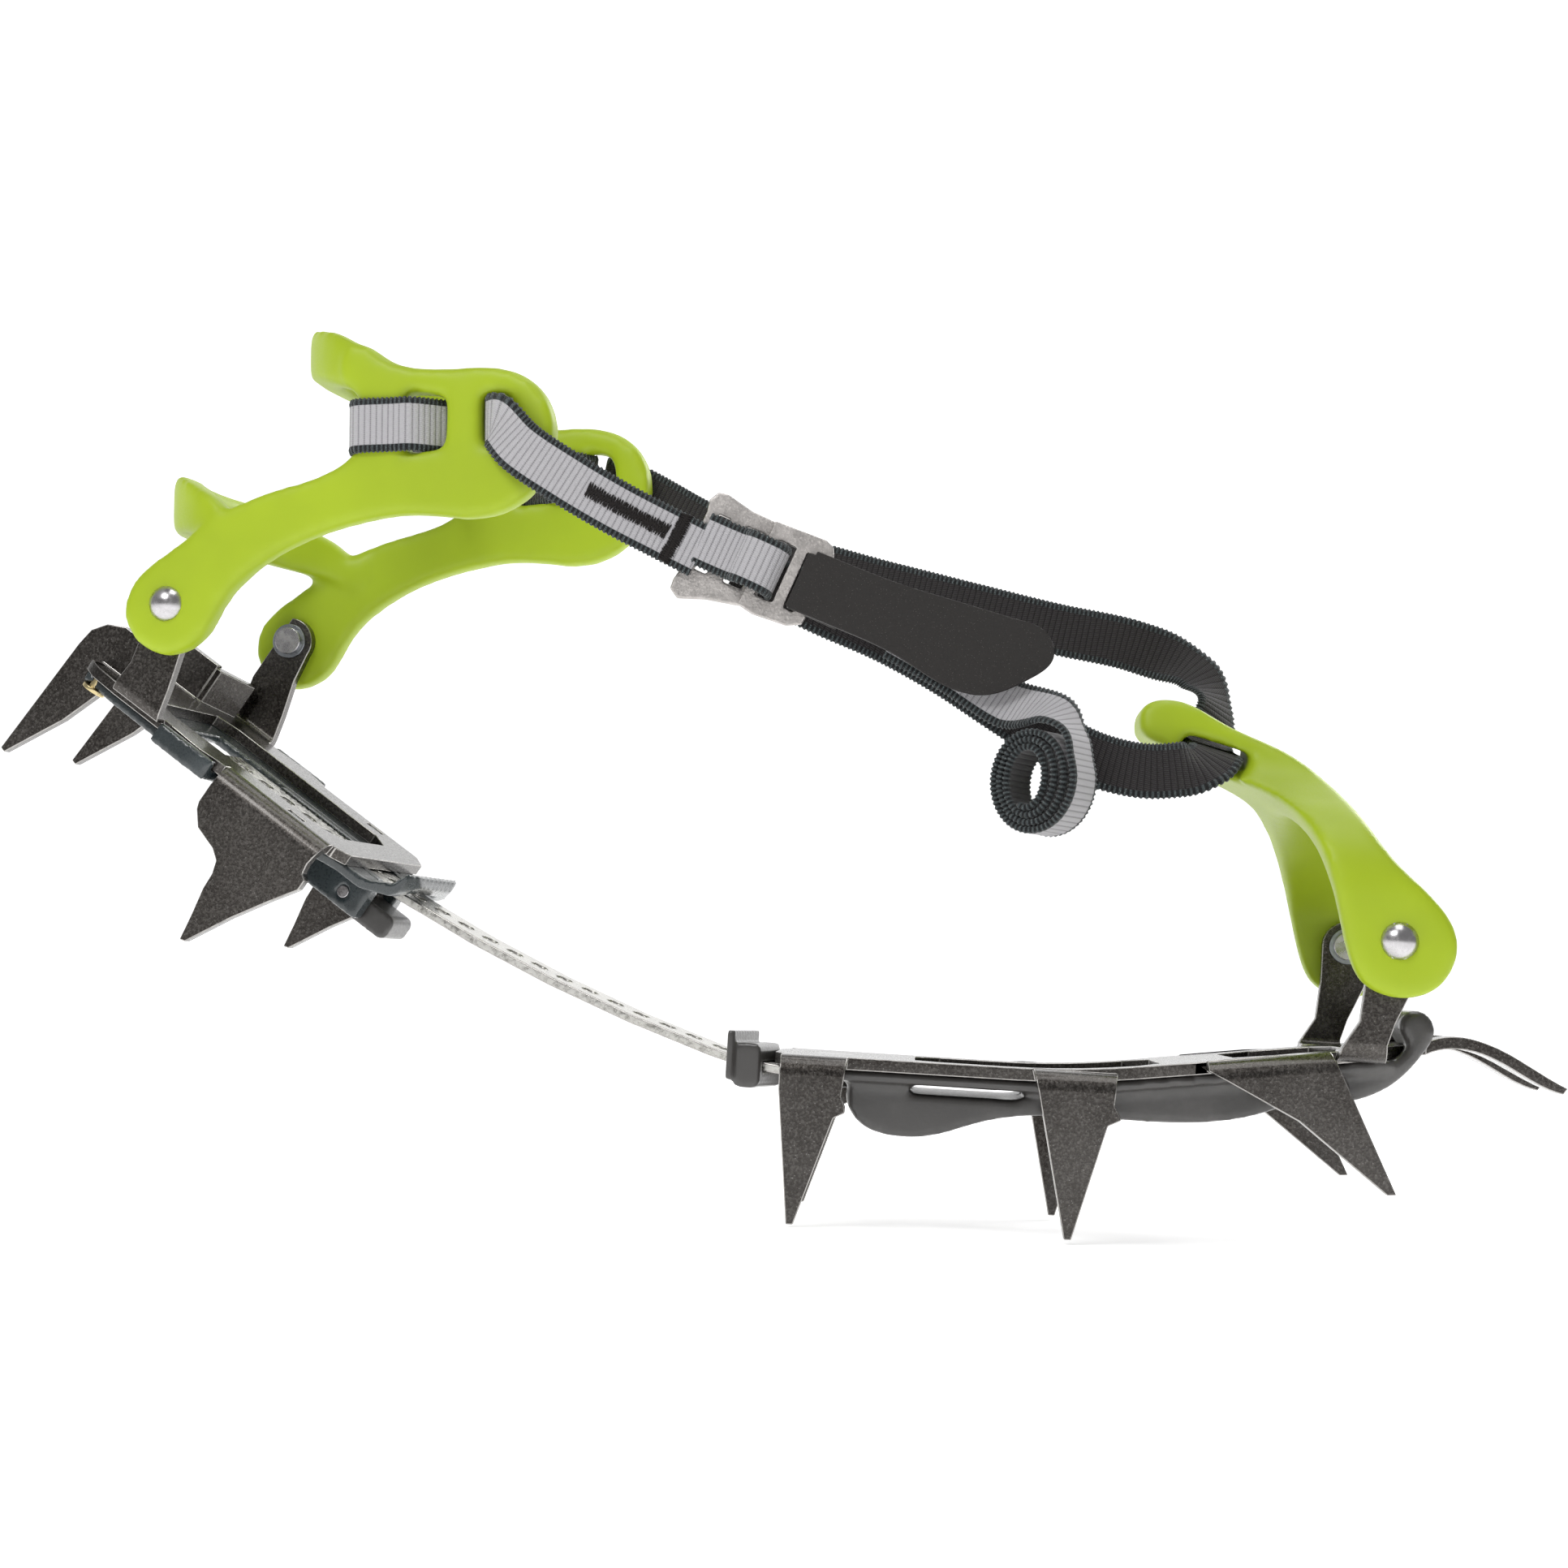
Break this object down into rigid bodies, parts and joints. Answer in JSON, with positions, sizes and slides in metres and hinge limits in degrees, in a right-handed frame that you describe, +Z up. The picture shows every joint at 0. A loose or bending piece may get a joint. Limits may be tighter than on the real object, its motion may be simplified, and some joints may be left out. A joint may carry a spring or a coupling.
{
  "type": "crampon",
  "caption": "Walking crampon with steel toe and heel frames on a perforated link bar, flexible heel harness, toe bail and buckled strap.",
  "frame": {"origin": "middle of the top face of the toe frame's rear cross member, where the boot sole rests", "axes": "+X to the toe, +Y to the left, +Z up from the sole plane"},
  "size_m": [0.3753, 0.1257, 0.2013],
  "materials": {
    "dark_steel": "dark fine-grained electrophoretic coat, bright on worn edges",
    "zinc_steel": "bright zinc plated strip with sheared edges",
    "rivet_steel": "smooth domed rivets",
    "brass": "plain brass",
    "grey_plastic": "moulded dark grey, slightly glossy",
    "green_elastomer": "soft satin moulded elastomer",
    "webbing": "ribbed flat webbing, light face, charcoal back and selvedges",
    "buckle_alloy": "tumbled cast aluminium",
    "black_tab": "fine-grained black sheet"
  },
  "bodies": {
    "toe_section": {"toe_frame": "dark_steel", "toe_antiball_plate": "grey_plastic", "link_bar": "zinc_steel", "bar_rivet": "zinc_steel", "bar_rear_block": "grey_plastic", "toe_pivot_rivets": "rivet_steel", "toe_pivot_washers": "rivet_steel"},
    "heel_section": {"heel_frame": "dark_steel", "heel_antiball_plate": "grey_plastic", "bar_guide": "grey_plastic", "lock_lever_pin": "rivet_steel", "lock_spring": "rivet_steel", "heel_pivot_rivets": "rivet_steel", "heel_pivot_washers": "rivet_steel", "heel_plate_rivets": "brass"},
    "lock_lever_body": {"lock_lever": "grey_plastic"},
    "harness_body": {"heel_harness": "green_elastomer", "strap_rear_wrap": "webbing"},
    "strap_body": {"strap_sewn_end": "webbing", "buckle_sewn_plate": "buckle_alloy", "strap_tail": "webbing", "strap_tail_roll": "webbing", "strap_far_stub": "webbing"},
    "strap_front_body": {"strap_near_strand": "webbing", "strap_toe_loop": "webbing", "strap_far_strand": "webbing"},
    "buckle_release_body": {"buckle_release_plate": "buckle_alloy", "pull_tab": "black_tab", "strap_buckle_turn": "webbing"},
    "bail_body": {"toe_bail": "green_elastomer"}
  },
  "joints": [
    {"name": "length_adjust", "type": "slide", "parent": "toe_section", "child": "heel_section", "axis": [0.8259, -0.171, -0.5373], "range_m": [-0.014, 0.007]},
    {"name": "lock_lever_hinge", "type": "hinge", "parent": "heel_section", "child": "lock_lever_body", "pos_m": [-0.12479, 0.02446, 0.03113], "axis": [0.2028, 0.9792, 0], "range_deg": [0, 4.4]},
    {"name": "harness_pivot", "type": "hinge", "parent": "heel_section", "child": "harness_body", "pos_m": [-0.1612, 0.032, 0.0956], "axis": [0.2028, 0.9792, 0], "range_deg": [-2, 2]},
    {"name": "strap_swing", "type": "hinge", "parent": "harness_body", "child": "strap_body", "pos_m": [-0.08462, 0.01614, 0.14046], "axis": [0.2028, 0.9792, 0], "range_deg": [-4.3, 4.3]},
    {"name": "strap_feed", "type": "slide", "parent": "strap_body", "child": "strap_front_body", "axis": [0.8259, -0.171, -0.5373], "range_m": [-0.007, 0.014]},
    {"name": "buckle_release", "type": "hinge", "parent": "strap_body", "child": "buckle_release_body", "pos_m": [-0.03069, -0.02665, 0.1106], "axis": [0.3584, 0, 0.9336], "range_deg": [-12, 0]},
    {"name": "bail_pivot", "type": "hinge", "parent": "toe_section", "child": "bail_body", "pos_m": [0.116, 0, 0.033], "axis": [0, 1, 0], "range_deg": [-5.4, 5.4]}
  ],
  "couplings": [
    {"joint": "strap_swing", "follows": "harness_pivot", "ratio": -2.125},
    {"joint": "bail_pivot", "follows": "harness_pivot", "ratio": 2.6548},
    {"joint": "strap_feed", "follows": "length_adjust", "ratio": -1}
  ]
}
